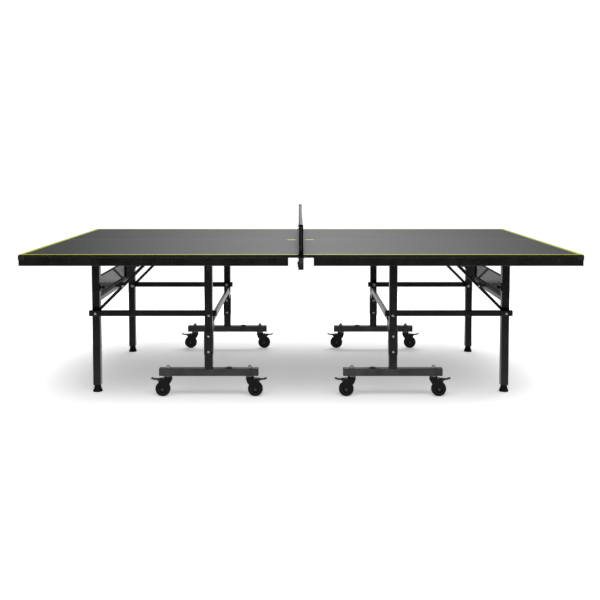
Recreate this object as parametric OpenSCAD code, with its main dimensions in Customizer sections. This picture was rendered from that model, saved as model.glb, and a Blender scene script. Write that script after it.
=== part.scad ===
// Ping pong table: two playing halves, each with its own wheeled frame, folding legs and
// locking braces, and a clamp-on net. X runs along the table, Y across it, Z up.
// The origin is on the floor below the middle of the net.

/* [Table top] */
// Length of the whole playing surface
table_l = 2740; // [2600:10:2800]
// Width of the playing surface
table_w = 1525; // [1450:5:1550]
// Height of the playing surface above the floor
table_h = 760; // [750:1:780]
// Thickness of the board
board_t = 15; // [15:1:17]
// Gap between the two boards under the net
board_gap = 8; // [8:1:10]
// Height of the steel rim below the board
rim_h = 40; // [36:1:42]
// Width of the rim tube
rim_w = 20; // [15:1:25]
// Distance from the net to the near end of each side rim
rim_start = 62; // [55:1:80]
// Height of the members that cross under the board
member_h = 18; // [14:1:18]

/* [Wheel frame] */
// Distance from the net to the wheel frame's posts
post_x = 474; // [465:1:485]
// Distance from the middle line to the posts
post_y = 540; // [530:1:550]
// Width of the square post and leg tubes
post_w = 40; // [36:1:40]
// Length of the base rail along X
rail_l = 506; // [460:2:520]
// Height of the base rail tube
rail_h = 38; // [34:1:40]
// Height of the base rail's top face
rail_top = 147; // [146:1:150]
// Width of the sleeve that joins post and stub
sleeve_w = 47; // [46:1:48]

/* [Legs] */
// Distance from the net to the outer legs
leg_x = 1073; // [1065:1:1080]
// Distance from the middle line to the legs
leg_y = 448; // [440:1:448]
// Distance from the net to the leg pivots
leg_pivot_x = 1067; // [1064:1:1070]
// Distance from the net to the post pivots
post_pivot_x = 472; // [470:1:474]
// Height of the pivots below the board
pivot_z = 700; // [698:1:702]
// Height of the link bar pivots
link_z = 424; // [420:1:430]
// Height of the link bar
link_h = 29; // [26:1:30]

/* [Casters] */
// Diameter of the wheels
wheel_d = 78; // [74:1:80]
// Width of the tyre
wheel_w = 26; // [22:1:28]
// Distance of the wheel axle behind the swivel pin
trail = 28; // [24:1:32]
// Distance from the post to each swivel pin
caster_dx = 211; // [200:1:216]

/* [Net] */
// Height of the net above the board
net_h = 152.5; // [150:0.5:155]
// Distance that the net stands out past each side of the board
net_out = 152.5; // [120:0.5:155]

/* [Hidden] */

$fn = 48;
black = [0.10, 0.10, 0.10];
rubber = [0.06, 0.06, 0.06];
zinc = [0.75, 0.75, 0.73];

half_l = table_l / 2;
half_w = table_w / 2;
board_z = table_h - board_t;
member_z = board_z - member_h;
edge = board_gap / 2;
wall = 1.6;
rail_z = rail_top - rail_h;

// Layers across the table, from the leg out to the post
leg_out = leg_y + post_w / 2;
lower_brace_y = leg_out + 3;
upper_brace_y = lower_brace_y + 4;
brace_t = 3.4;
link_y = leg_out + 14;
link_w = 25;
post_in = post_y - post_w / 2;
post_out = post_y + post_w / 2;

// The braces run straight at 45 degrees from the link pivot, through the knuckle, to the top
knuckle_run = 139;
brace_run = 302;
brace_w = 16;
knuckle_x = leg_pivot_x - knuckle_run;
knuckle_z = link_z + knuckle_run;
brace_top_x = leg_pivot_x - brace_run;
brace_top_z = link_z + brace_run;

// ---------------------------------------------------------------- helpers

// A tube along Z with rounded corners, between two heights
module box_tube(w, d, z0, z1, r = 4, t = wall) {
    translate([0, 0, z0]) linear_extrude(z1 - z0) difference() {
        rounded(w, d, r);
        rounded(w - 2 * t, d - 2 * t, max(r - t, 0.8));
    }
}

// A rectangle with round corners, centred
module rounded(w, d, r) {
    square([w - 2 * r, d], center = true);
    square([w, d - 2 * r], center = true);
    for (i = [-1, 1], j = [-1, 1]) translate([i * (w / 2 - r), j * (d / 2 - r)]) circle(r);
}

// A tube along X from x0 to x1, w wide in Y and h high in Z
module tube_x(x0, x1, w, h, r = 4, t = wall) {
    rotate([90, 0, 90]) box_tube(w, h, x0, x1, r, t);
}

// A tube along Y from y0 to y1, w wide in X and h high in Z
module tube_y(y0, y1, w, h, r = 4, t = wall) {
    rotate([-90, 0, 0]) box_tube(w, h, y0, y1, r, t);
}

// A round bar along Y
module rod_y(y0, y1, d) {
    translate([0, y0, 0]) rotate([-90, 0, 0]) cylinder(h = y1 - y0, d = d);
}

// A hexagon along Y, for bolt heads and nuts
module hex_y(y0, y1, across) {
    translate([0, y0, 0]) rotate([-90, 0, 0]) cylinder(h = y1 - y0, d = across / cos(30), $fn = 6);
}

// A domed bolt head along Y, d across and h high, standing on y0
module dome_y(y0, d, h) {
    r = (d * d / 4 + h * h) / (2 * h);
    translate([0, y0, 0]) rotate([-90, 0, 0]) rotate_extrude() intersection() {
        translate([0, h - r]) circle(r);
        square([d / 2, h]);
    }
}

// Both sides of the table, the far one and its mirror image
module both_sides() {
    children();
    mirror([0, 1, 0]) children();
}

// Turns a right-hand half into the left-hand one
module half(side) {
    if (side < 0) mirror([1, 0, 0]) children();
    else children();
}

// ---------------------------------------------------------------- table top

module board(side) {
    color([0.27, 0.28, 0.28]) half(side) difference() {
        translate([edge, -half_w, board_z]) cube([half_l - edge, table_w, board_t]);
        for (x = [post_pivot_x, leg_pivot_x], y = [-1, 1]) for (s = [-1, 1])
            translate([x, y * (post_y + s * 60), board_z - 1]) cylinder(h = 9, d = 5);
    }
}

module top_frame(side) {
    side_y = half_w - rim_w / 2;
    inner_w = table_w - 2 * rim_w - 0.4;
    color(black) half(side) {
        // Side rims, the end rim between them, and the members that cross under the board
        both_sides() translate([0, side_y, board_z - rim_h / 2])
            tube_x(rim_start, half_l, rim_w, rim_h, 2);
        translate([half_l - rim_w / 2, 0, board_z - rim_h / 2])
            tube_y(-inner_w / 2, inner_w / 2, rim_w, rim_h, 2);
        for (x = [rim_start + 20, post_pivot_x, leg_pivot_x]) translate([x, 0, member_z + member_h / 2])
            tube_y(-inner_w / 2, inner_w / 2, 36, member_h, 2);
        // Two runners along the table between the members
        for (y = [-1, 1]) translate([0, y * 250, member_z + member_h / 2]) {
            tube_x(rim_start + 38.2, post_pivot_x - 18.2, 26, member_h, 2);
            tube_x(post_pivot_x + 18.2, leg_pivot_x - 18.2, 26, member_h, 2);
            tube_x(leg_pivot_x + 18.2, half_l - rim_w - 0.2, 26, member_h, 2);
        }
    }
}

// Rubber bumpers around the two outer corners of the board
module corner_pads(side) {
    pad_l = 32;
    pad_h = 22;
    proud = 3.5;
    color(rubber) half(side) both_sides() difference() {
        translate([half_l + proud - pad_l / 2, half_w + proud - pad_l / 2, board_z - 12])
            linear_extrude(pad_h) rounded(pad_l, pad_l, 7);
        translate([half_l - 3 * pad_l, half_w - 3 * pad_l, board_z - 20])
            cube([3 * pad_l + 0.15, 3 * pad_l + 0.15, pad_h + 20]);
    }
}

// A hanging bracket: a top flange and two cheeks around a tube that is post_w deep in Y
module cheek_bracket(x, y, thick) {
    gap = 1.2;
    depth = post_w / 2 + gap;
    for (s = [-1, 1]) difference() {
        union() {
            translate([x - 20, y + s * (depth + thick / 2) - thick / 2, pivot_z])
                cube([40, thick, member_z - 0.1 - pivot_z]);
            translate([x, y + s * (depth + thick / 2) - thick / 2, pivot_z])
                rod_y(0, thick, 36);
        }
        translate([x, y - 50, pivot_z]) rod_y(0, 100, 10.2);
    }
}

// Brackets and pivot pins that carry the posts, the legs and the upper braces
module pivot_brackets(side) {
    color(zinc) half(side) both_sides() {
        cheek_bracket(post_pivot_x, post_y, 3.5);
        cheek_bracket(leg_pivot_x, leg_y, 3);
        translate([post_pivot_x, 0, pivot_z]) {
            rod_y(post_in - 5, post_out + 12, 10);
            rod_y(post_in - 8.2, post_in - 5, 18);
            hex_y(post_out + 5, post_out + 12, 16);
        }
        translate([leg_pivot_x, 0, pivot_z]) {
            rod_y(leg_y - post_w / 2 - 12, leg_out + 4.4, 10);
            hex_y(leg_y - post_w / 2 - 11, leg_y - post_w / 2 - 4.4, 16);
            rod_y(leg_out + 4.4, leg_out + 6.6, 18);
        }
        // Hanger for the upper brace, fixed under the board
        difference() {
            union() {
                translate([brace_top_x - 20, upper_brace_y + brace_t + 0.6, brace_top_z])
                    cube([40, 3, board_z - 0.1 - brace_top_z]);
                translate([brace_top_x, upper_brace_y + brace_t + 0.6, brace_top_z]) rod_y(0, 3, 24);
                translate([brace_top_x - 20, upper_brace_y + brace_t + 3.6, board_z - 3.1])
                    cube([40, 22, 3]);
            }
            translate([brace_top_x, 0, brace_top_z]) rod_y(0, post_y, 8.2);
        }
        translate([brace_top_x, 0, brace_top_z]) {
            rod_y(upper_brace_y - 2, upper_brace_y + brace_t + 6, 8);
            rod_y(upper_brace_y - 2.6, upper_brace_y - 0.5, 13);
            rod_y(upper_brace_y + brace_t + 3.6, upper_brace_y + brace_t + 6, 13);
        }
    }
}

// ---------------------------------------------------------------- wheel frame

module post_frame(side) {
    join = 0.15;
    cross_x = post_x - 20;
    cross_t = 16;
    cross_top = 411;
    cross_low = 375;
    drop_y = link_y - 42;
    drop_top = link_z - 42;
    color(black) half(side) {
        both_sides() difference() {
            union() {
                // Upper post, and the stub below it that is welded to the base rail
                translate([post_x, post_y, 0]) box_tube(post_w, post_w, 284, pivot_z + 12);
                translate([post_x, post_y, 0]) box_tube(42.6, 42.6, rail_top + join, 283.8, 4);
                // Steel sleeve clamped around the joint
                translate([post_x, post_y, 0]) difference() {
                    linear_extrude(345) rounded(sleeve_w, sleeve_w, 5);
                    translate([0, 0, -1]) linear_extrude(222) rounded(80, 80, 5);
                    translate([0, 0, -1]) linear_extrude(400) rounded(42.9, 42.9, 4);
                }
            }
            translate([post_pivot_x, 0, pivot_z]) rod_y(post_in - 9, post_out + 9, 10.1);
            translate([post_pivot_x, 0, link_z]) rod_y(post_in - 9, post_out + 9, 10.1);
            for (z = [236, 316]) translate([post_x, 0, z]) rod_y(post_in - 9, post_out + 9, 8.2);
        }
        // Cross tube between the two posts, with dropped ends that clear the link bars' swing
        translate([cross_x + cross_t / 2, 0, (cross_top + cross_low) / 2])
            tube_y(-drop_y, drop_y, cross_t, cross_top - cross_low, 2);
        both_sides() translate([cross_x, drop_y + join, drop_top - 40]) {
            cube([cross_t, 5, cross_top - drop_top + 40]);
            cube([cross_t, post_in - drop_y - 2 * join, 40]);
        }
    }
}

module base_rails(side) {
    color([0.16, 0.16, 0.16]) half(side) both_sides() difference() {
        translate([0, post_y, rail_top - rail_h / 2])
            tube_x(post_x - rail_l / 2, post_x + rail_l / 2, post_w, rail_h, 3, 2);
        for (s = [-1, 1]) translate([post_x + s * caster_dx, post_y, 0]) cylinder(h = 300, d = 12.2);
    }
}

// Plastic plugs in the rail ends, and the round rubber stop pads on top of the rails
module rail_caps(side) {
    color(rubber) half(side) both_sides() {
        for (s = [-1, 1]) translate([post_x + s * rail_l / 2, post_y, rail_top - rail_h / 2])
            mirror([s < 0 ? 1 : 0, 0, 0]) {
                rotate([90, 0, 90]) linear_extrude(2.5) rounded(post_w - 0.4, rail_h - 0.4, 3);
                rotate([90, 0, 90]) translate([0, 0, -14]) linear_extrude(13.9)
                    rounded(post_w - 4.2, rail_h - 4.2, 1.2);
            }
        translate([post_x - 103, post_y, rail_top + 0.05]) cylinder(h = 4, d1 = 36, d2 = 30);
        // Caps that close the tops of the posts
        translate([post_x, post_y, pivot_z + 12]) linear_extrude(1.5) rounded(post_w - 8, post_w - 1, 4);
    }
}

// Sleeve bolts, caster stems with their bearing cups, and the dome nuts on the rails
module frame_bolts(side) {
    color(zinc) half(side) both_sides() {
        for (z = [236, 316]) translate([post_x, 0, z]) {
            rod_y(post_y - sleeve_w / 2 - 7, post_y + sleeve_w / 2 + 0.1, 8);
            dome_y(post_y + sleeve_w / 2 + 0.1, 13, 5);
            hex_y(post_y - sleeve_w / 2 - 6.6, post_y - sleeve_w / 2 - 0.1, 13);
        }
        for (s = [-1, 1]) translate([post_x + s * caster_dx, post_y, 0]) {
            translate([0, 0, 92]) cylinder(h = rail_top + 9 - 92, d = 12);
            translate([0, 0, rail_z - 3.1]) cylinder(h = 3, d = 34);
            translate([0, 0, rail_top + 0.1]) cylinder(h = 1.6, d = 24);
            translate([0, 0, rail_top + 1.7]) cylinder(h = 7.3, d = 19 / cos(30), $fn = 6);
            translate([0, 0, rail_top + 9]) rotate_extrude() intersection() {
                circle(8);
                square([8, 8]);
            }
        }
    }
}

// ---------------------------------------------------------------- legs and links

// The panel's face, its ribs and its folded flanges, drawn from the net side
panel_top = 604;
panel_low = 476;
leg_low = 38;

module leg_frame(side) {
    inner = leg_y - post_w / 2 - 0.15;
    face_x = leg_x - 14;
    color(black) half(side) {
        both_sides() difference() {
            translate([leg_x, leg_y, 0]) box_tube(post_w, post_w, leg_low, pivot_z + 12);
            translate([leg_pivot_x, 0, pivot_z]) rod_y(300, 600, 10.1);
            translate([leg_pivot_x, 0, link_z]) rod_y(300, 600, 10.1);
        }
        // Plugs in the leg ends that hold the feet's threaded stems
        both_sides() translate([leg_x, leg_y, leg_low - 2]) difference() {
            union() {
                linear_extrude(1.9) rounded(post_w - 1, post_w - 1, 4);
                translate([0, 0, 2]) linear_extrude(22) rounded(36.6, 36.6, 2.2);
            }
            translate([0, 0, -1]) cylinder(h = 40, d = 10.16);
        }
        // Cross panel: sheet face with top and bottom flanges, a rib along it and corner gussets
        translate([face_x, -inner, panel_low]) cube([2, 2 * inner, panel_top - panel_low]);
        translate([face_x + 2, -inner, panel_top - 2]) cube([18, 2 * inner, 2]);
        translate([face_x + 2, -inner, panel_low]) cube([18, 2 * inner, 2]);
        panel_ribs(face_x, inner);
    }
}

// Raised ribs on the panel's net side, and the plate that stiffens its far end
module panel_ribs(face_x, inner) {
    rib_z = 502;
    rib_top = 520;
    plate_y = 182;
    deep = 7;
    translate([face_x, 0, 0]) rotate([90, 0, -90]) {
        // Long rib, and the plate at the far leg
        linear_extrude(deep) polygon([
            [-inner, rib_z], [inner, rib_z], [inner, rib_top], [-plate_y, rib_top],
            [-plate_y, panel_top], [-inner, panel_top]]);
        // Gusset that slopes up to the near leg
        linear_extrude(deep - 3) polygon([
            [100, rib_top - 1], [inner, rib_top - 1], [inner, rib_z + 69]]);
        // Slanted rib from the long rib up to the top flange
        linear_extrude(deep - 2) polygon([
            [-130, rib_top - 2], [-105, rib_top - 2], [126, panel_top], [101, panel_top]]);
    }
}

// Spring latch on each leg: body, plunger and round knob
module leg_latches(side) {
    z = 551;
    face = leg_x - post_w / 2 - 0.1;
    color(rubber) half(side) both_sides() translate([0, leg_y, z]) {
        translate([face - 5, -11, -17]) cube([5, 22, 38]);
        translate([face - 10, 0, 0]) rotate([0, 90, 0]) cylinder(h = 6, d = 9);
        translate([face - 8, 0, 0]) rotate([0, -90, 0]) cylinder(h = 16, d1 = 15, d2 = 18);
        translate([face - 24, 0, 0]) rotate([0, -90, 0]) cylinder(h = 2, d1 = 18, d2 = 12);
    }
}

module link_bars(side) {
    bar_start = post_pivot_x - 34;
    bar_end = leg_pivot_x + 31;
    color(black) half(side) both_sides() difference() {
        translate([0, link_y + link_w / 2, link_z]) tube_x(bar_start, bar_end, link_w, link_h, 3);
        for (x = [post_pivot_x, leg_pivot_x]) translate([x, 0, link_z]) rod_y(300, 700, 10.1);
    }
    // Plugs in the bar ends, pivot bolts, nuts and spacers
    color(zinc) half(side) both_sides() {
        for (s = [-1, 1]) translate([s < 0 ? bar_start : bar_end, link_y + link_w / 2, link_z])
            mirror([s < 0 ? 1 : 0, 0, 0]) rotate([90, 0, 90]) linear_extrude(2)
                rounded(link_w - 0.4, link_h - 0.4, 3);
        translate([post_pivot_x, 0, link_z]) {
            rod_y(link_y - 5, post_out + 2, 10);
            hex_y(link_y - 7.4, link_y - 0.1, 16);
            rod_y(link_y + link_w + 0.1, post_in - 0.4, 20);
            rod_y(post_out + 0.3, post_out + 1.8, 18);
            dome_y(post_out + 1.8, 14, 5);
        }
        translate([leg_pivot_x, 0, link_z]) {
            rod_y(leg_y - post_w / 2 - 8, link_y + link_w + 1, 10);
            hex_y(leg_y - post_w / 2 - 7, leg_y - post_w / 2 - 0.4, 16);
            rod_y(upper_brace_y + 0.4, link_y - 0.1, 18);
            dome_y(link_y + link_w + 0.1, 14, 5);
        }
    }
}

// A flat brace at 45 degrees, reaching run along X and run up or down, with a round end at each
// pivot and a hole there
module brace(run, rise, near_bore, far_bore) {
    reach = run * sqrt(2);
    rotate([0, rise > 0 ? -135 : 45, 0]) difference() {
        union() {
            translate([0, 0, -brace_w / 2]) cube([reach, brace_t, brace_w]);
            for (x = [0, reach]) translate([x, 0, 0]) rod_y(0, brace_t, brace_w);
        }
        translate([0, -1, 0]) rod_y(0, brace_t + 2, near_bore);
        translate([reach, -1, 0]) rod_y(0, brace_t + 2, far_bore);
    }
}

module lower_braces(side) {
    color(black) half(side) both_sides() translate([leg_pivot_x, lower_brace_y, link_z])
        brace(knuckle_run, 1, 10.1, 8.1);
    // Inner half of the knuckle rivet
    color(zinc) half(side) both_sides() translate([knuckle_x, lower_brace_y, knuckle_z]) {
        rod_y(-1.8, brace_t, 8);
        rod_y(-1.8, -0.1, 14);
    }
}

module upper_braces(side) {
    color(black) half(side) both_sides() {
        translate([brace_top_x, upper_brace_y, brace_top_z]) brace(brace_run - knuckle_run, -1, 8.1, 8.1);
        // Finger tab beside the knuckle, which unlocks it
        translate([knuckle_x, upper_brace_y + 3.2, knuckle_z]) rotate([90, 0, 0]) linear_extrude(3)
            polygon([[-4.5, 13.5], [4, 24], [10, 22], [42, 5], [42, -3], [13.5, -4.5]]);
    }
    // Outer half of the knuckle rivet
    color(zinc) half(side) both_sides() translate([knuckle_x, upper_brace_y, knuckle_z]) {
        rod_y(0, brace_t + 1, 8);
        dome_y(brace_t + 0.1, 13, 2.4);
    }
}

// ---------------------------------------------------------------- feet

// Levelling foot: flared rubber base, neck and the threaded stem inside the leg
module foot(side, across) {
    neck_d = 35;
    color(rubber) translate([side * leg_x, across * leg_y, 0]) difference() {
        union() {
            cylinder(h = 5, d = 50);
            translate([0, 0, 5]) cylinder(h = 19, d1 = 48, d2 = neck_d);
            translate([0, 0, 24]) cylinder(h = leg_low - 28, d = neck_d);
        }
        translate([0, 0, 20]) cylinder(h = 40, d = 10.1);
    }
    color(zinc) translate([side * leg_x, across * leg_y, 20.1]) cylinder(h = 50, d = 10);
}

// ---------------------------------------------------------------- casters

// Places a caster: out is +1 on the side away from the net
module at_caster(side, across, out) {
    translate([side * (post_x + out * caster_dx), across * post_y, 0])
        mirror([side * out < 0 ? 1 : 0, 0, 0]) children();
}

fork_top = rail_z - 4;
axle_z = wheel_d / 2;
fork_in = wheel_w / 2 + 1.6;
fork_t = 3;
brake_x = trail + 18;
brake_z = 86;

module fork(side, across, out) {
    color(rubber) at_caster(side, across, out) difference() {
        union() {
            translate([0, 0, 94]) cylinder(h = fork_top - 94, d1 = 38, d2 = 42);
            translate([0, 0, 88]) linear_extrude(6) {
                circle(22);
                translate([0, -fork_in - fork_t]) square([trail + 8, 2 * (fork_in + fork_t)]);
            }
            // Cheeks that run down to the axle
            for (s = [-1, 1]) translate([0, s * (fork_in + fork_t / 2) - fork_t / 2, 0]) {
                rotate([-90, 0, 0]) linear_extrude(fork_t) polygon([
                    [-18, -88], [-14, -74], [trail - 12, -axle_z], [trail + 12, -axle_z],
                    [trail + 16, -70], [brake_x + 6, -brake_z], [brake_x, -brake_z - 6], [trail + 4, -88]]);
                translate([trail, 0, axle_z]) rod_y(0, fork_t, 24);
                translate([brake_x, 0, brake_z]) rod_y(0, fork_t, 13);
            }
        }
        translate([0, 0, 60]) cylinder(h = 60, d = 12.16);
        translate([trail, -40, axle_z]) rod_y(0, 80, 8.1);
        translate([brake_x, -40, brake_z]) rod_y(0, 80, 5.1);
    }
    color(zinc) at_caster(side, across, out) translate([trail, 0, axle_z]) {
        rod_y(-fork_in - fork_t - 3, fork_in + fork_t + 5, 8);
        hex_y(fork_in + fork_t + 0.1, fork_in + fork_t + 4.6, 12);
        rod_y(-fork_in - fork_t - 3.1, -fork_in - fork_t - 0.1, 12);
    }
    // Pin that carries the brake pedal
    color(zinc) at_caster(side, across, out) translate([brake_x, 0, brake_z]) {
        rod_y(-fork_in - fork_t - 1.4, fork_in + fork_t + 1.4, 5);
        for (s = [-1, 1]) translate([0, s * (fork_in + fork_t + 0.8) - 0.7, 0]) rod_y(0, 1.4, 8);
    }
}

module wheel(side, across, out) {
    hub_d = 52;
    color(rubber) at_caster(side, across, out) translate([trail, 0, axle_z]) rotate([90, 0, 0]) {
        rotate_extrude($fn = 64) difference() {
            translate([hub_d / 2 + 0.05, -wheel_w / 2]) square([(wheel_d - hub_d) / 2 - 0.05, wheel_w]);
            for (s = [-1, 1]) translate([wheel_d / 2, s * wheel_w / 2]) rotate(45) square(7, center = true);
        }
        rotate_extrude($fn = 64) {
            translate([16, -4]) square([hub_d / 2 - 16, 8]);
            translate([4.08, -wheel_w / 2 - 0.8]) square([12, wheel_w + 1.6]);
            translate([hub_d / 2 - 4, -wheel_w / 2 + 2]) square([4, wheel_w - 4]);
        }
    }
}

// Brake pedal on its pin: a barrel with a foot plate outside and a shoe that faces the tyre
module brake(side, across, out) {
    color(rubber) at_caster(side, across, out) translate([brake_x, 0, brake_z]) difference() {
        union() {
            rod_y(-12, 12, 10);
            rotate([90, 0, 0]) translate([0, 0, -11]) linear_extrude(22) polygon([
                [-3, 4], [8, 6], [24, 6], [38, 10.5], [42, 9.5], [40, 6], [26, 1.5], [12, 0],
                [3, -4], [-0.5, -8], [-4.5, -7.5], [-5, -1]]);
        }
        rod_y(-20, 20, 5.14);
    }
}

// ---------------------------------------------------------------- net

net_top = table_h + net_h;
post_top = net_top + 6;
upright_y = half_w + net_out - 6;
upright_d = 14;
net_reach = upright_y - upright_d / 2 - 1;
screw_x = -8;
screw_y = half_w - 24;

// Clamp post: outboard upright on an arm, and a clamp whose jaws reach over the left board
module net_post(across) {
    out_y = half_w + 4;
    color(black) mirror([0, across < 0 ? 1 : 0, 0]) {
        // Arm along the board's edge out to the net's end, the upright and its collar
        translate([-9, out_y, board_z + 2]) cube([18, upright_y - out_y, 10]);
        translate([0, upright_y, board_z - 8]) cylinder(h = post_top - board_z + 8, d = upright_d);
        translate([-16.5, upright_y - upright_d / 2, table_h + 1]) cube([33, upright_d, 6]);
        // Outer block of the clamp
        translate([-12.5, out_y, board_z - 57]) cube([25, 12, board_t + 62]);
        // Upper jaw on the board, and the lower jaw that holds the screw
        translate([-15.5, screw_y - 20, table_h + 0.6]) cube([11, 60, 3]);
        difference() {
            translate([-18, screw_y - 20, board_z - 30]) cube([24, 60, 7]);
            translate([screw_x, screw_y, board_z - 60]) cylinder(h = 60, d = 6.1);
        }
    }
}

// Clamp screw with its pressure pad and knob
module net_screw(across) {
    color(rubber) mirror([0, across < 0 ? 1 : 0, 0]) translate([screw_x, screw_y, board_z]) {
        translate([0, 0, -44]) cylinder(h = 40, d = 6);
        translate([0, 0, -5]) cylinder(h = 3.5, d = 14);
        translate([0, 0, -50]) cylinder(h = 14, d = 16);
    }
}

module net_mesh() {
    color([0.05, 0.05, 0.05]) translate([-1.5, -net_reach, table_h + 8])
        cube([3, 2 * net_reach, net_h - 23]);
}

module net_tape() {
    color([0.75, 0.75, 0.75]) translate([-8.5, -net_reach, net_top - 14.8])
        cube([17, 2 * net_reach, 14.8]);
}

// ---------------------------------------------------------------- nodes

board(-1);  // left_board
top_frame(-1);  // left_top_frame
corner_pads(-1);  // left_corner_pads
pivot_brackets(-1);  // left_pivot_brackets
post_frame(-1);  // left_post_frame
base_rails(-1);  // left_base_rails
rail_caps(-1);  // left_rail_caps
frame_bolts(-1);  // left_frame_bolts
leg_frame(-1);  // left_leg_frame
leg_latches(-1);  // left_leg_latches
link_bars(-1);  // left_link_bars
upper_braces(-1);  // left_upper_braces
lower_braces(-1);  // left_lower_braces
board(1);  // right_board
top_frame(1);  // right_top_frame
corner_pads(1);  // right_corner_pads
pivot_brackets(1);  // right_pivot_brackets
post_frame(1);  // right_post_frame
base_rails(1);  // right_base_rails
rail_caps(1);  // right_rail_caps
frame_bolts(1);  // right_frame_bolts
leg_frame(1);  // right_leg_frame
leg_latches(1);  // right_leg_latches
link_bars(1);  // right_link_bars
upper_braces(1);  // right_upper_braces
lower_braces(1);  // right_lower_braces
foot(-1, -1);  // left_near_foot
foot(-1, 1);  // left_far_foot
foot(1, -1);  // right_near_foot
foot(1, 1);  // right_far_foot
net_post(-1);  // near_net_post
net_post(1);  // far_net_post
net_screw(-1);  // near_net_screw
net_screw(1);  // far_net_screw
net_mesh();
net_tape();
for (side = [-1, 1], across = [-1, 1], out = [-1, 1]) {
    place = str(side < 0 ? "left" : "right", across < 0 ? "_near" : "_far", out < 0 ? "_inner" : "_outer");
    fork(side, across, out);
    wheel(side, across, out);
    brake(side, across, out);
}
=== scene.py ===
"""Ping pong table: finishes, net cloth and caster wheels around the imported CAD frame, in metres."""
import math
import bpy
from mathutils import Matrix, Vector


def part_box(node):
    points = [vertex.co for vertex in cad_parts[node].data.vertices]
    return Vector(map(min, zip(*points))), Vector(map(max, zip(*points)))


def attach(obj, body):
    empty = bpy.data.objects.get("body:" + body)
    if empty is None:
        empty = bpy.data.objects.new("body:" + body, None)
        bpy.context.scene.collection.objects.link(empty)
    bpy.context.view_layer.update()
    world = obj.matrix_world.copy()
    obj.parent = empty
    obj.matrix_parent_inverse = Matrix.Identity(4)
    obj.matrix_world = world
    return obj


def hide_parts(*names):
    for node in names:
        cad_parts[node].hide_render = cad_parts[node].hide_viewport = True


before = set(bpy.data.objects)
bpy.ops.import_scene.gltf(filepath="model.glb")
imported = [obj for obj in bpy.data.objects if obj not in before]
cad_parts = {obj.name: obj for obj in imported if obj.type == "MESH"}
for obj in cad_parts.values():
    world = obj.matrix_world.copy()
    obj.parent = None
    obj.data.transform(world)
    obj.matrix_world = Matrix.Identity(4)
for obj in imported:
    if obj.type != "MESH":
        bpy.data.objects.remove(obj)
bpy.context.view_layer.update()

SIDES = ("left", "right")
ACROSS = ("near", "far")
ENDS = ("inner", "outer")
CASTERS = [f"{s}_{a}_{e}" for s in SIDES for a in ACROSS for e in ENDS]

# ---------------------------------------------------------------- camera

camera_data = bpy.data.cameras.new("camera")
camera_data.lens = 47.98
camera_data.sensor_width = 36.0
camera_data.shift_x = 0.0029
camera_data.shift_y = -0.1535
camera = bpy.data.objects.new("camera", camera_data)
camera.location = (-0.0133, -4.618, 1.2034)
camera.rotation_euler = (math.radians(86.792), 0.0, 0.0)
bpy.context.scene.collection.objects.link(camera)
bpy.context.scene.camera = camera
bpy.context.scene.view_settings.view_transform = "Standard"


# ---------------------------------------------------------------- sizes from the frame, in metres

board_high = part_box("right_board")[1]
half_length, half_width, table_height = board_high.x, board_high.y, board_high.z
post_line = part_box("right_base_rails")[1].y - 0.020
net_low, net_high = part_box("net_mesh")
tape_low, tape_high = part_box("net_tape")
net_reach = net_high.y

LINK_INNER, LINK_OUTER = 0.482, 0.507  # faces of the near link bar, from the middle line
EDGE_LINE, CENTRE_LINE = 0.020, 0.003  # widths of the painted lines
BAR_START, BAR_END, BAR_HALF = 0.030, 0.076, 0.020  # the plain bars beside the net


# ---------------------------------------------------------------- shader helpers

class Graph:
    """A node tree over the coordinates of one kind, with short calls for the nodes it uses."""

    def __init__(self, tree, coordinates):
        self.tree = tree
        self.place = tree.nodes.new("ShaderNodeTexCoord").outputs[coordinates]
        self.axes = tree.nodes.new("ShaderNodeSeparateXYZ")
        tree.links.new(self.place, self.axes.inputs[0])

    def join(self, source, socket):
        if isinstance(source, (int, float)):
            socket.default_value = source
        elif isinstance(source, tuple):
            socket.default_value = (*source, 1.0)
        else:
            self.tree.links.new(source, socket)

    def math(self, operation, first, second=0.0, third=None, clamp=False):
        node = self.tree.nodes.new("ShaderNodeMath")
        node.operation = operation
        node.use_clamp = clamp
        self.join(first, node.inputs[0])
        self.join(second, node.inputs[1])
        if third is not None:
            self.join(third, node.inputs[2])
        return node.outputs[0]

    def noise(self, scale, detail=3.0, stretch=(1.0, 1.0, 1.0)):
        mapping = self.tree.nodes.new("ShaderNodeMapping")
        mapping.inputs["Scale"].default_value = stretch
        self.tree.links.new(self.place, mapping.inputs[0])
        node = self.tree.nodes.new("ShaderNodeTexNoise")
        node.inputs["Scale"].default_value = scale
        node.inputs["Detail"].default_value = detail
        self.tree.links.new(mapping.outputs[0], node.inputs["Vector"])
        return node.outputs["Fac"]

    def spread(self, value, low, high, new_low=0.0, new_high=1.0):
        """value from low..high mapped to new_low..new_high and held there"""
        node = self.tree.nodes.new("ShaderNodeMapRange")
        self.join(value, node.inputs["Value"])
        limits = {"From Min": low, "From Max": high, "To Min": new_low, "To Max": new_high}
        for socket, number in limits.items():
            node.inputs[socket].default_value = number
        return node.outputs["Result"]

    def blend(self, share, first, second):
        node = self.tree.nodes.new("ShaderNodeMix")
        node.data_type = "RGBA"
        self.join(share, node.inputs["Factor"])
        self.join(first, node.inputs["A"])
        self.join(second, node.inputs["B"])
        return node.outputs["Result"]

    def over(self, value, limit):
        return self.math("GREATER_THAN", value, limit)

    def under(self, value, limit):
        return self.math("LESS_THAN", value, limit)

    def size_of(self, value):
        return self.math("ABSOLUTE", value)

    def either(self, first, second):
        return self.math("MAXIMUM", first, second)

    def both(self, first, second):
        return self.math("MULTIPLY", first, second)


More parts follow.
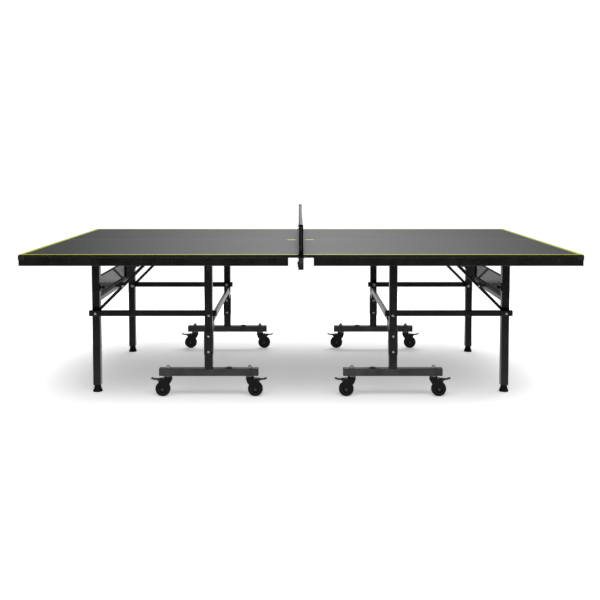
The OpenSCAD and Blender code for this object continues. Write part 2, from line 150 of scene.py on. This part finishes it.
class Finish(Graph):
    """A node material on one Principled shader."""

    def __init__(self, name, colour, roughness, metallic=0.0, specular=0.5):
        self.material = bpy.data.materials.new(name)
        self.material.use_nodes = True
        super().__init__(self.material.node_tree, "Object")
        self.shader = self.tree.nodes["Principled BSDF"]
        self.shader.inputs["Base Color"].default_value = (*colour, 1.0)
        self.shader.inputs["Roughness"].default_value = roughness
        self.shader.inputs["Metallic"].default_value = metallic
        self.shader.inputs["Specular IOR Level"].default_value = specular

    def set(self, **sources):
        for name, source in sources.items():
            self.join(source, self.shader.inputs[name.replace("_", " ")])

    def plated(self, metal, paint, rough, zinc):
        """Colour and roughness that turn to zinc plating where metal is 1"""
        self.set(Metallic=self.math("MULTIPLY", metal, PLATING))
        rough = self.both(rough, self.math("SUBTRACT", 1.0, metal))
        return self.blend(metal, paint, zinc), self.math("ADD", rough, self.math("MULTIPLY", metal, 0.30))

    def bump(self, height, strength, distance):
        node = self.tree.nodes.new("ShaderNodeBump")
        node.inputs["Strength"].default_value = strength
        node.inputs["Distance"].default_value = distance
        self.join(height, node.inputs["Height"])
        self.tree.links.new(node.outputs[0], self.shader.inputs["Normal"])


def linear(red, green, blue):
    """An everyday 0-255 colour as the linear values shaders use"""
    def one(channel):
        share = channel / 255
        return ((share + 0.055) / 1.055) ** 2.4 if channel > 10 else share / 12.92
    return one(red), one(green), one(blue)


# ---------------------------------------------------------------- finishes

ZINC = linear(206, 206, 201)
DARK_ZINC = linear(84, 84, 82)
PLATING = 0.45
# The leg panel is one black paint: the lighter rib tone is a painted highlight and the near-black plate tone
# is painted shade
RIB_PAINTED_HIGHLIGHT = linear(34, 34, 35)
PLATE_PAINTED_SHADE = linear(7, 7, 7)
LIME = linear(164, 172, 28)


def board_paint():
    """Satin grey paint with lime lines, black edge banding and a dark underside"""
    f = Finish("board_paint", linear(52, 54, 54), 0.38, specular=0.35)
    x, y, z = f.axes.outputs
    far_x, far_y = f.size_of(x), f.size_of(y)
    line = f.either(f.over(far_y, half_width - EDGE_LINE), f.over(far_x, half_length - 0.0001 - EDGE_LINE))
    line = f.either(line, f.under(far_y, CENTRE_LINE / 2))
    bar = f.both(f.both(f.over(far_x, BAR_START), f.under(far_x, BAR_END)), f.under(far_y, BAR_HALF))
    line = f.either(line, bar)
    cloud = f.noise(2.2, 2.0)
    speckle = f.noise(900.0, 2.0)
    paint = f.blend(f.spread(cloud, 0.3, 0.7), linear(36, 37, 38), linear(42, 43, 43))
    paint = f.blend(f.spread(speckle, 0.35, 0.75, 0.0, 0.35), paint, linear(52, 53, 53))
    lime = f.blend(f.spread(speckle, 0.3, 0.7, 0.0, 0.4), LIME, linear(150, 157, 26))
    top = f.blend(line, paint, lime)
    edge = f.blend(f.spread(f.noise(60.0, 4.0), 0.4, 0.7), linear(26, 27, 22), linear(36, 37, 31))
    worn = f.both(f.over(z, table_height - 0.0012), f.over(f.noise(110.0, 5.0), 0.62))
    edge = f.blend(worn, edge, linear(70, 68, 60))
    on_top = f.over(z, table_height - 0.0004)
    f.set(Base_Color=f.blend(on_top, edge, top))
    satin = f.spread(speckle, 0.3, 0.7, 0.35, 0.41)
    f.set(Roughness=f.math("SUBTRACT", satin, f.math("MULTIPLY", line, 0.12)))
    f.bump(f.noise(1400.0, 2.0), 0.25, 0.0002)
    return f.material


def powder_coat(name, colour, roughness, zinc_mask=None, painted_light_mask=None):
    """Semi-gloss powder coat with fine orange peel and faint scuffs, zinc where one mask says, and where
    another says a painted highlight on raised ribs and painted shade on a plate, both duller
    """
    f = Finish(name, colour, roughness)
    x, y, z = f.axes.outputs
    lighter = tuple(min(1.0, c * 1.7 + 0.004) for c in colour)
    paint = f.blend(f.spread(f.noise(14.0, 4.0), 0.35, 0.7), colour, lighter)
    scuff = f.spread(f.noise(38.0, 6.0, (1.0, 1.0, 0.22)), 0.66, 0.72)
    paint = f.blend(f.math("MULTIPLY", scuff, 0.5), paint, tuple(c + 0.03 for c in colour))
    grain = f.spread(f.noise(520.0, 3.0), 0.3, 0.7, roughness - 0.05, roughness + 0.06)
    rough = f.math("ADD", grain, f.math("MULTIPLY", scuff, 0.12))
    if zinc_mask:
        zinc = f.blend(f.spread(f.noise(420.0, 5.0), 0.35, 0.7), ZINC, linear(158, 158, 152))
        paint, rough = f.plated(zinc_mask(f, x, y, z), paint, rough, zinc)
    if painted_light_mask:
        ribs, plate = painted_light_mask(f, x, y, z)
        # Painted highlight on the ribs and painted shade on the far plate
        paint = f.blend(plate, f.blend(ribs, paint, RIB_PAINTED_HIGHLIGHT), PLATE_PAINTED_SHADE)
        rough = f.either(rough, f.either(f.math("MULTIPLY", ribs, 0.62), plate))
    f.set(Base_Color=paint, Roughness=rough)
    f.bump(f.noise(620.0, 2.0), 0.22, 0.0003)
    return f.material


def plated_steel(name, bright, dull, roughness):
    """Zinc-plated steel: cloudy passivated film and fine drawing marks"""
    f = Finish(name, bright, roughness, metallic=PLATING)
    cloud = f.noise(90.0, 5.0)
    f.set(Base_Color=f.blend(f.spread(cloud, 0.35, 0.65), bright, dull))
    f.set(Roughness=f.spread(f.noise(700.0, 3.0), 0.3, 0.7, roughness - 0.08, roughness + 0.12))
    f.bump(f.noise(900.0, 2.0, (1.0, 1.0, 0.2)), 0.15, 0.0001)
    return f.material


def moulded(name, colour, roughness, grain=800.0, depth=0.0002, zinc_mask=None, zinc=ZINC):
    """Moulded rubber or plastic: fine grain, and dust that lifts its tone in patches"""
    f = Finish(name, colour, roughness, specular=0.3)
    x, y, z = f.axes.outputs
    skin = f.noise(grain, 3.0)
    dust = f.spread(f.noise(26.0, 5.0), 0.52, 0.75, 0.0, 0.45)
    body = f.blend(dust, colour, tuple(c + 0.008 for c in colour))
    rough = f.spread(skin, 0.3, 0.7, roughness - 0.06, roughness + 0.06)
    rough = f.math("ADD", rough, f.math("MULTIPLY", dust, 0.2))
    if zinc_mask:
        body, rough = f.plated(zinc_mask(f, x, y, z), body, rough, zinc)
    f.set(Base_Color=body, Roughness=rough)
    f.bump(skin, 0.3, depth)
    return f.material


def woven(name, colour, thread, roughness, pitch=0.0008, fuzz=0.05, specular=0.2):
    """Cloth: crossing threads as bump and tone, with fuzzy sheen"""
    f = Finish(name, colour, roughness, specular=specular)
    f.shader.inputs["Sheen Weight"].default_value = fuzz
    x, y, z = f.axes.outputs
    turns = 2 * math.pi / pitch
    warp = f.math("SINE", f.math("MULTIPLY", y, turns))
    weft = f.math("SINE", f.math("MULTIPLY", z, turns))
    weave = f.math("MULTIPLY", warp, weft)
    tone = f.spread(weave, -1.0, 1.0, 0.0, 0.6)
    soil = f.spread(f.noise(18.0, 4.0), 0.45, 0.75, 0.0, 0.5)
    f.set(Base_Color=f.blend(soil, f.blend(tone, colour, thread), tuple(c * 0.7 for c in colour)))
    f.set(Roughness=f.spread(weave, -1.0, 1.0, roughness - 0.08, roughness + 0.05))
    f.bump(weave, 0.4, 0.0002)
    return f.material


# Where the zinc-plated hardware shows on nodes that are mostly painted

def link_bar_hardware(f, x, y, z):
    """Everything inside and outside the bars, except the black washers on the posts"""
    side = f.size_of(y)
    washer = f.both(f.over(side, 0.55995), f.under(side, 0.56185))
    loose = f.either(f.under(side, LINK_INNER - 0.00005), f.over(side, LINK_OUTER + 0.00005))
    return f.math("SUBTRACT", loose, washer, clamp=True)


def lower_brace_hardware(f, x, y, z):
    return f.under(f.size_of(y), 0.47095)


def upper_brace_hardware(f, x, y, z):
    return f.over(f.size_of(y), 0.47845)


def fork_hardware(f, x, y, z):
    from_middle = f.size_of(f.math("SUBTRACT", f.size_of(y), post_line))
    return f.both(f.over(from_middle, 0.01765), f.under(z, 0.0879))


def foot_hardware(f, x, y, z):
    return f.over(z, 0.0345)


def panel_painted_light(f, x, y, z):
    """The ribs that stand off the leg panel's face, which get a painted highlight, and the plate at its far
    end, which gets painted shade
    """
    raised = f.both(f.under(f.size_of(x), 1.0588), f.under(f.size_of(y), 0.4279))
    return raised, f.both(raised, f.over(y, 0.1819))


BLACK = linear(15, 15, 13)
black_steel = powder_coat("black_powder_coat", BLACK, 0.22)
finishes = {
    "board": board_paint(),
    "top_frame": black_steel,
    "corner_pads": moulded("corner_rubber", linear(34, 32, 33), 0.48, 500.0),
    "pivot_brackets": plated_steel("bracket_zinc", linear(150, 150, 146), linear(112, 112, 108), 0.42),
    "post_frame": black_steel,
    "base_rails": powder_coat("rail_powder_coat", linear(46, 46, 46), 0.30),
    "rail_caps": moulded("cap_plastic", linear(28, 28, 28), 0.45),
    "frame_bolts": plated_steel("bolt_zinc", ZINC, linear(170, 170, 165), 0.26),
    # The leg panel's ribs get a painted highlight and its far plate painted shade
    "leg_frame": powder_coat("leg_powder_coat_painted_light", BLACK, 0.22, painted_light_mask=panel_painted_light),
    "leg_latches": moulded("latch_plastic", linear(18, 18, 18), 0.36),
    "link_bars": powder_coat("link_powder_coat", BLACK, 0.22, link_bar_hardware),
    "upper_braces": powder_coat("upper_brace_paint", BLACK, 0.22, upper_brace_hardware),
    "lower_braces": powder_coat("lower_brace_paint", BLACK, 0.22, lower_brace_hardware),
    "foot": moulded("foot_rubber", linear(9, 9, 9), 0.55, 600.0, 0.0003, foot_hardware),
    "net_post": powder_coat("net_post_paint", linear(22, 22, 22), 0.30),
    "net_screw": moulded("screw_plastic", linear(20, 20, 20), 0.40),
    "fork": moulded("fork_plastic", linear(10, 10, 10), 0.40, 700.0, 0.0002, fork_hardware, DARK_ZINC),
    "brake": moulded("brake_plastic", linear(11, 11, 11), 0.38),
}
tyre_rubber = moulded("tyre_rubber", linear(10, 10, 10), 0.55, 900.0, 0.0002)
hub_plastic = moulded("hub_plastic", linear(32, 32, 32), 0.34)
net_thread = woven("net_thread", linear(8, 8, 9), linear(16, 16, 17), 0.75, 0.0005, 0.0)
net_sleeve = woven("net_sleeve_cloth", linear(5, 5, 5), linear(10, 10, 10), 0.85, 0.0009, 0.0, 0.04)
# The binding is white cloth; this grey tone is painted shade
net_binding = woven("net_binding_cloth_painted_shade", linear(100, 99, 104), linear(124, 123, 128), 0.85, 0.0010)
seam_thread = woven("seam_thread", linear(120, 120, 122), linear(160, 160, 162), 0.8, 0.0006)

# Edge rounding of each kind of CAD node, in metres
ROUNDING = {"board": 0.0008, "top_frame": 0.0004, "corner_pads": 0.0012, "base_rails": 0.0004, "fork": 0.0008,
            "brake": 0.0008, "leg_latches": 0.0006, "net_post": 0.0008, "net_screw": 0.0008, "foot": 0.0008}


def dress_cad():
    """Gives every CAD node its finish, and the sharp moulded ones a small rounding"""
    for name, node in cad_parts.items():
        kind = next((k for k in finishes if name.endswith(k)), None)
        if kind is None:
            continue
        node.data.materials.clear()
        node.data.materials.append(finishes[kind])
        if kind in ROUNDING:
            weld = node.modifiers.new("weld", "WELD")
            weld.merge_threshold = 0.00001
            bevel = node.modifiers.new("rounding", "BEVEL")
            bevel.width = ROUNDING[kind]
            bevel.segments = 2
            bevel.limit_method = "ANGLE"
            bevel.angle_limit = math.radians(40)
            bevel.harden_normals = False


dress_cad()


# ---------------------------------------------------------------- mesh helpers

def piece(name, points, faces, body, slot, material, smooth=40.0):
    """A mesh object that rides on a CAD body"""
    mesh = bpy.data.meshes.new(name)
    mesh.from_pydata(points, [], faces)
    mesh.validate()
    mesh.update()
    thing = bpy.data.objects.new(name, mesh)
    bpy.context.scene.collection.objects.link(thing)
    mesh.materials.append(material)
    mesh.shade_smooth()
    mesh.set_sharp_from_angle(angle=math.radians(smooth))
    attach(thing, body)
    return thing


def merged(parts):
    """Several (points, faces) lists as one"""
    points, faces = [], []
    for more_points, more_faces in parts:
        start = len(points)
        points += more_points
        faces += [tuple(i + start for i in face) for face in more_faces]
    return points, faces


def swept(rings):
    """Skins a row of closed rings and caps both ends"""
    count = len(rings[0])
    points = [p for ring in rings for p in ring]
    faces = [tuple(reversed(range(count)))]
    for row in range(len(rings) - 1):
        a = row * count
        for i in range(count):
            j = (i + 1) % count
            faces.append((a + i, a + j, a + count + j, a + count + i))
    last = (len(rings) - 1) * count
    faces.append(tuple(range(last, last + count)))
    return points, faces


def lathe(profile, centre, segments=56):
    """Turns a closed (radius, offset) outline about the Y axis through centre"""
    count = len(profile)
    points = []
    for step in range(segments):
        angle = 2 * math.pi * step / segments
        for radius, offset in profile:
            points.append((centre.x + radius * math.cos(angle), centre.y + offset,
                           centre.z + radius * math.sin(angle)))
    faces = []
    for step in range(segments):
        a, b = step * count, (step + 1) % segments * count
        for i in range(count):
            j = (i + 1) % count
            faces.append((a + i, a + j, b + j, b + i))
    return points, faces


# ---------------------------------------------------------------- caster wheels

def tyre_outline(radius, half, inner):
    """Crowned tread with two shallow grooves and rounded shoulders"""
    outline = []
    steps = 12
    for step in range(steps + 1):
        t = -1 + 2 * step / steps
        groove = 0.0009 if step in (4, 8) else 0.0
        outline.append((radius - 0.0034 * abs(t) ** 3 - groove, half * t * 0.96))
    outline.append((radius - 0.0065, half))
    outline.append((inner + 0.003, half - 0.0004))
    outline.append((inner, half - 0.0016))
    outline.append((inner, -half + 0.0016))
    outline.append((inner + 0.003, -half + 0.0004))
    outline.append((radius - 0.0065, -half))
    return outline


def hub_parts(centre, rim, half):
    """Rim ring, thin web, boss and six ribs on each face"""
    ring = [(rim, half - 0.002), (rim - 0.0035, half - 0.0014), (rim - 0.0045, 0.0032), (0.0165, 0.0026),
            (0.0150, half - 0.001), (0.0140, half + 0.0004), (0.0060, half + 0.0004), (0.0045, half - 0.0006)]
    outline = ring + [(r, -o) for r, o in reversed(ring)]
    parts = [lathe(outline, centre, 48)]
    for step in range(6):
        angle = 2 * math.pi * (step + 0.5) / 6
        along = Vector((math.cos(angle), 0, math.sin(angle)))
        beside = Vector((-math.sin(angle), 0, math.cos(angle))) * 0.0011
        for face in (1, -1):
            rings = []
            for reach, height in ((0.0148, half - 0.0026), (rim - 0.0042, half - 0.0050)):
                at = centre + along * reach
                low, high = Vector((0, face * 0.0024, 0)), Vector((0, face * height, 0))
                rings.append([tuple(at + beside + low), tuple(at - beside + low),
                              tuple(at - beside * 0.6 + high), tuple(at + beside * 0.6 + high)])
            parts.append(swept(rings))
    return parts


def make_wheels():
    for caster in CASTERS:
        low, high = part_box(f"{caster}_wheel")
        centre = (low + high) / 2
        radius, half = (high.z - low.z) / 2, 0.013
        inner = 0.0265
        tyre = piece(f"{caster}_tyre", *lathe(tyre_outline(radius, half, inner), centre), f"{caster}_roller",
                     "caster_wheel", tyre_rubber)
        piece(f"{caster}_hub", *merged(hub_parts(centre, inner - 0.0001, half)), f"{caster}_roller",
              "black_plastic", hub_plastic)
        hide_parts(f"{caster}_wheel")


make_wheels()


# ---------------------------------------------------------------- net

NET_CELL = 0.0115
THREAD_THICK, THREAD_WIDE, BOTTOM_CORD_WIDE = 0.0009, 0.0015, 0.0030


def sag(y):
    """How far the net's top hangs below its ends"""
    return 0.0035 * (1 - (y / net_reach) ** 2)


def billow(y, z):
    """Sideways swing of the net, from nothing at the tape to a little at the bottom"""
    hang = max(0.0, (net_high.z - z) / (net_high.z - net_low.z))
    return hang * (0.0030 * math.sin(7.3 * y + 0.6) + 0.0012 * math.sin(19.0 * y + 2.0))


def thread(points, across, thickness, width):
    """A flat thread along points; across is the direction of its width"""
    rings = []
    across = Vector(across) * width / 2
    out = Vector((1, 0, 0)) * thickness / 2
    for point in points:
        at = Vector(point)
        rings.append([tuple(at + across * 0.6 + out), tuple(at - across * 0.6 + out), tuple(at - across),
                      tuple(at - across * 0.6 - out), tuple(at + across * 0.6 - out), tuple(at + across)])
    return swept(rings)


def make_net():
    columns = round(2 * net_reach / NET_CELL)
    rows = round((net_high.z - net_low.z) / NET_CELL)
    ys = [-net_reach + 2 * net_reach * i / columns for i in range(columns + 1)]
    zs = [net_low.z + 0.001 + (net_high.z + 0.004 - net_low.z) * j / rows for j in range(rows + 1)]
    parts = []
    for i, y in enumerate(ys):
        line = [(billow(y, z) + 0.0003 * (-1) ** (i + j), y, z - sag(y)) for j, z in enumerate(zs)]
        parts.append(thread(line, (0, 1, 0), THREAD_THICK, THREAD_WIDE))
    for j, z in enumerate(zs):
        line = [(billow(y, z) - 0.0003 * (-1) ** (i + j), y, z - sag(y)) for i, y in enumerate(ys)]
        wide = BOTTOM_CORD_WIDE if j == 0 else THREAD_WIDE
        parts.append(thread(line, (0, 0, 1), THREAD_THICK, wide))
    net = piece("net_netting", *merged(parts), "net_fabric", "net_mesh", net_thread)
    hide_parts("net_mesh")
    return net, 2 * net_reach, net_high.z - net_low.z


TAPE_DEPTH = tape_high.z - tape_low.z
TAPE_SPREAD = 0.0086
TAPE_FOLD = 0.0078
FOLD_SHARE = 0.55  # share of the binding's width that bends over the cord
FOLD_REACH = 0.92  # share of the spread where the bend ends and the skirt starts


def tape_section(share):
    """How far out, as a share of the spread, and how far down the binding is at -1..1 of its width"""
    side, reach = (1 if share > 0 else -1), abs(share)
    bend = min(1.0, reach / FOLD_SHARE) * math.pi / 2
    skirt = max(0.0, reach - FOLD_SHARE) / (1 - FOLD_SHARE)
    out = side * (FOLD_REACH * math.sin(bend) + (1 - FOLD_REACH) * skirt)
    return out, TAPE_FOLD * (1 - math.cos(bend)) + (TAPE_DEPTH - TAPE_FOLD) * skirt


def tape_ripple(y):
    return 1 + 0.07 * math.sin(31 * y) + 0.05 * math.sin(67 * y + 1)


def make_tape():
    """Binding folded over the top cord, its two skirts standing a little apart"""
    cloth = 0.0011
    steps, lengths = 16, 120
    rings = []
    for i in range(lengths + 1):
        y = -net_reach + 2 * net_reach * i / lengths
        top = tape_high.z - sag(y)
        outer, inner = [], []
        for step in range(steps + 1):
            s = -1 + 2 * step / steps
            open_out, drop = tape_section(s)
            spread = TAPE_SPREAD * tape_ripple(y)
            outer.append((spread * open_out, y, top - drop))
            inner.append(((spread - cloth) * open_out, y, top - drop - cloth * (1 - abs(s))))
        rings.append(outer + inner[::-1])
    tape = piece("net_binding", *swept(rings), "net_fabric", "net_tape", net_binding)
    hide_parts("net_tape")
    return tape


def make_stitches(name, spots, size, across, body, material):
    """Short raised stitches, each a small six-point bead"""
    parts = []
    for at, along in spots:
        at, along = Vector(at), Vector(along)
        up = Vector(across).cross(along).normalized() * 0.0003
        out = Vector(across) * 0.0003
        rings = []
        for share, thick in ((-0.5, 0.3), (-0.3, 1.0), (0.3, 1.0), (0.5, 0.3)):
            c = at + along * size * share
            rings.append([tuple(c + way * thick) for way in (out, up, -out, -up)])
        parts.append(swept(rings))
    return piece(name, *merged(parts), body, "net_tape", material)


def make_tape_stitches():
    spots = []
    open_out, drop = tape_section(0.88)
    pitch = 0.006
    for i in range(int(2 * net_reach / pitch)):
        y = -net_reach + 0.004 + pitch * i
        for side in (1, -1):
            x = side * (TAPE_SPREAD * tape_ripple(y) * open_out + 0.0001)
            spots.append(((x, y, tape_high.z - sag(y) - drop), (0, 1, 0)))
    return make_stitches("net_binding_stitches", spots, 0.004, (1, 0, 0), "net_fabric", seam_thread)


def make_sleeve(across):
    """Cloth sleeve that slips over the net post, with its seam on the outside"""
    way = -1 if across == "near" else 1
    low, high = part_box(f"{across}_net_post")
    middle = way * (max(abs(low.y), abs(high.y)) - 0.0070)
    bottom, top = table_height + 0.0076, high.z - 0.003
    steps, levels = 28, 22
    half_x, half_y, cloth = 0.0098, 0.0086, 0.0009
    rings = []
    for side in (1, -1):
        loop = []
        for level in range(levels + 1):
            t = level / levels if side > 0 else 1 - level / levels
            z = bottom + (top - bottom) * t
            flare = 1 + 0.25 * (1 - t) ** 6
            ring = []
            for step in range(steps):
                a = 2 * math.pi * step / steps
                fold = 1 + 0.035 * math.sin(3 * a + 9 * t) + 0.02 * math.sin(5 * a - 21 * t)
                wide = half_x * flare * fold - (cloth if side < 0 else 0)
                deep = half_y * flare * fold - (cloth if side < 0 else 0)
                ring.append((wide * math.cos(a), middle + deep * math.sin(a), z))
            loop.append(ring)
        rings += loop
    points, faces = swept(rings)
    faces = faces[1:-1]
    first, last, count = 0, (len(rings) - 1) * steps, steps
    for i in range(count):
        j = (i + 1) % count
        faces.append((last + i, last + j, first + j, first + i))
    sleeve = piece(f"{across}_net_sleeve", points, faces, "net_fabric", "net_mesh", net_sleeve)
    spots = []
    pitch = 0.0055
    for i in range(int((top - bottom - 0.01) / pitch)):
        z = bottom + 0.006 + pitch * i
        for x in (-0.0012, 0.0012):
            spots.append(((x, middle + way * 0.0089, z), (0, 0, 1)))
    name = f"{across}_net_sleeve_stitches"
    seam = make_stitches(name, spots, 0.0038, (0, 1, 0), "net_fabric", seam_thread)


net, net_width, net_height = make_net()
tape = make_tape()
tape_stitches = make_tape_stitches()
for across in ACROSS:
    make_sleeve(across)


# ---------------------------------------------------------------- floor and light

def make_floor():
    """A plain pale sheet; the world below stands in for it in reflections"""
    wide, front, back = 3.2, -2.6, 2.8
    mesh = bpy.data.meshes.new("floor")
    corners = [(-wide, front, 0), (wide, front, 0), (wide, back, 0), (-wide, back, 0)]
    mesh.from_pydata(corners, [], [(0, 1, 2, 3)])
    floor = bpy.data.objects.new("floor", mesh)
    finish = Finish("studio_floor", (0.92, 0.92, 0.92), 0.95, specular=0.1)
    finish.set(Emission_Color=(1.0, 1.0, 1.0), Emission_Strength=0.40)
    mesh.materials.append(finish.material)
    bpy.context.scene.collection.objects.link(floor)
    floor.visible_glossy = False


def soft_light(name, location, target, size, power):
    data = bpy.data.lights.new(name, "AREA")
    data.shape = "RECTANGLE"
    data.size, data.size_y = size
    data.energy = power
    light = bpy.data.objects.new(name, data)
    light.location = location
    light.rotation_euler = (Vector(target) - Vector(location)).to_track_quat("-Z", "Y").to_euler()
    bpy.context.scene.collection.objects.link(light)


def make_world():
    """White for the camera; in reflections, a studio bright above, behind and a little to the right"""
    world = bpy.data.worlds.new("studio")
    world.use_nodes = True
    bpy.context.scene.world = world
    sky = Graph(world.node_tree, "Generated")
    x, y, z = sky.axes.outputs
    behind = sky.spread(y, 0.0, 0.5)
    middle = sky.spread(sky.size_of(sky.math("SUBTRACT", x, 0.022)), 0.02, 0.32, 1.0, 0.0)
    rise = sky.spread(z, 0.0, 0.2, 0.1, 1.05)
    above = sky.both(sky.spread(z, 0.30, 0.75, 0.0, 0.6), sky.spread(x, -0.6, 0.6, 0.45, 1.0))
    upper = sky.both(sky.over(z, 0.0), sky.either(sky.both(sky.both(behind, middle), rise), above))
    floor_front = sky.spread(z, -0.28, -0.21, 0.75, 0.0)
    floor_back = sky.both(behind, sky.spread(x, -0.3, 0.3, 0.6, 0.8))
    lower = sky.both(sky.under(z, 0.0), sky.either(floor_front, floor_back))
    room = sky.math("ADD", sky.either(upper, lower), 0.03)
    seen = world.node_tree.nodes.new("ShaderNodeLightPath").outputs["Is Camera Ray"]
    background = world.node_tree.nodes["Background"]
    background.inputs["Color"].default_value = (1, 1, 1, 1)
    white = sky.math("MULTIPLY", seen, 1.1)
    world.node_tree.links.new(sky.either(room, white), background.inputs["Strength"])


def make_light():
    make_world()
    soft_light("overhead", (0.3, -0.1, 4.5), (0.1, 0, 0), (8.0, 6.0), 480.0)


make_floor()
make_light()
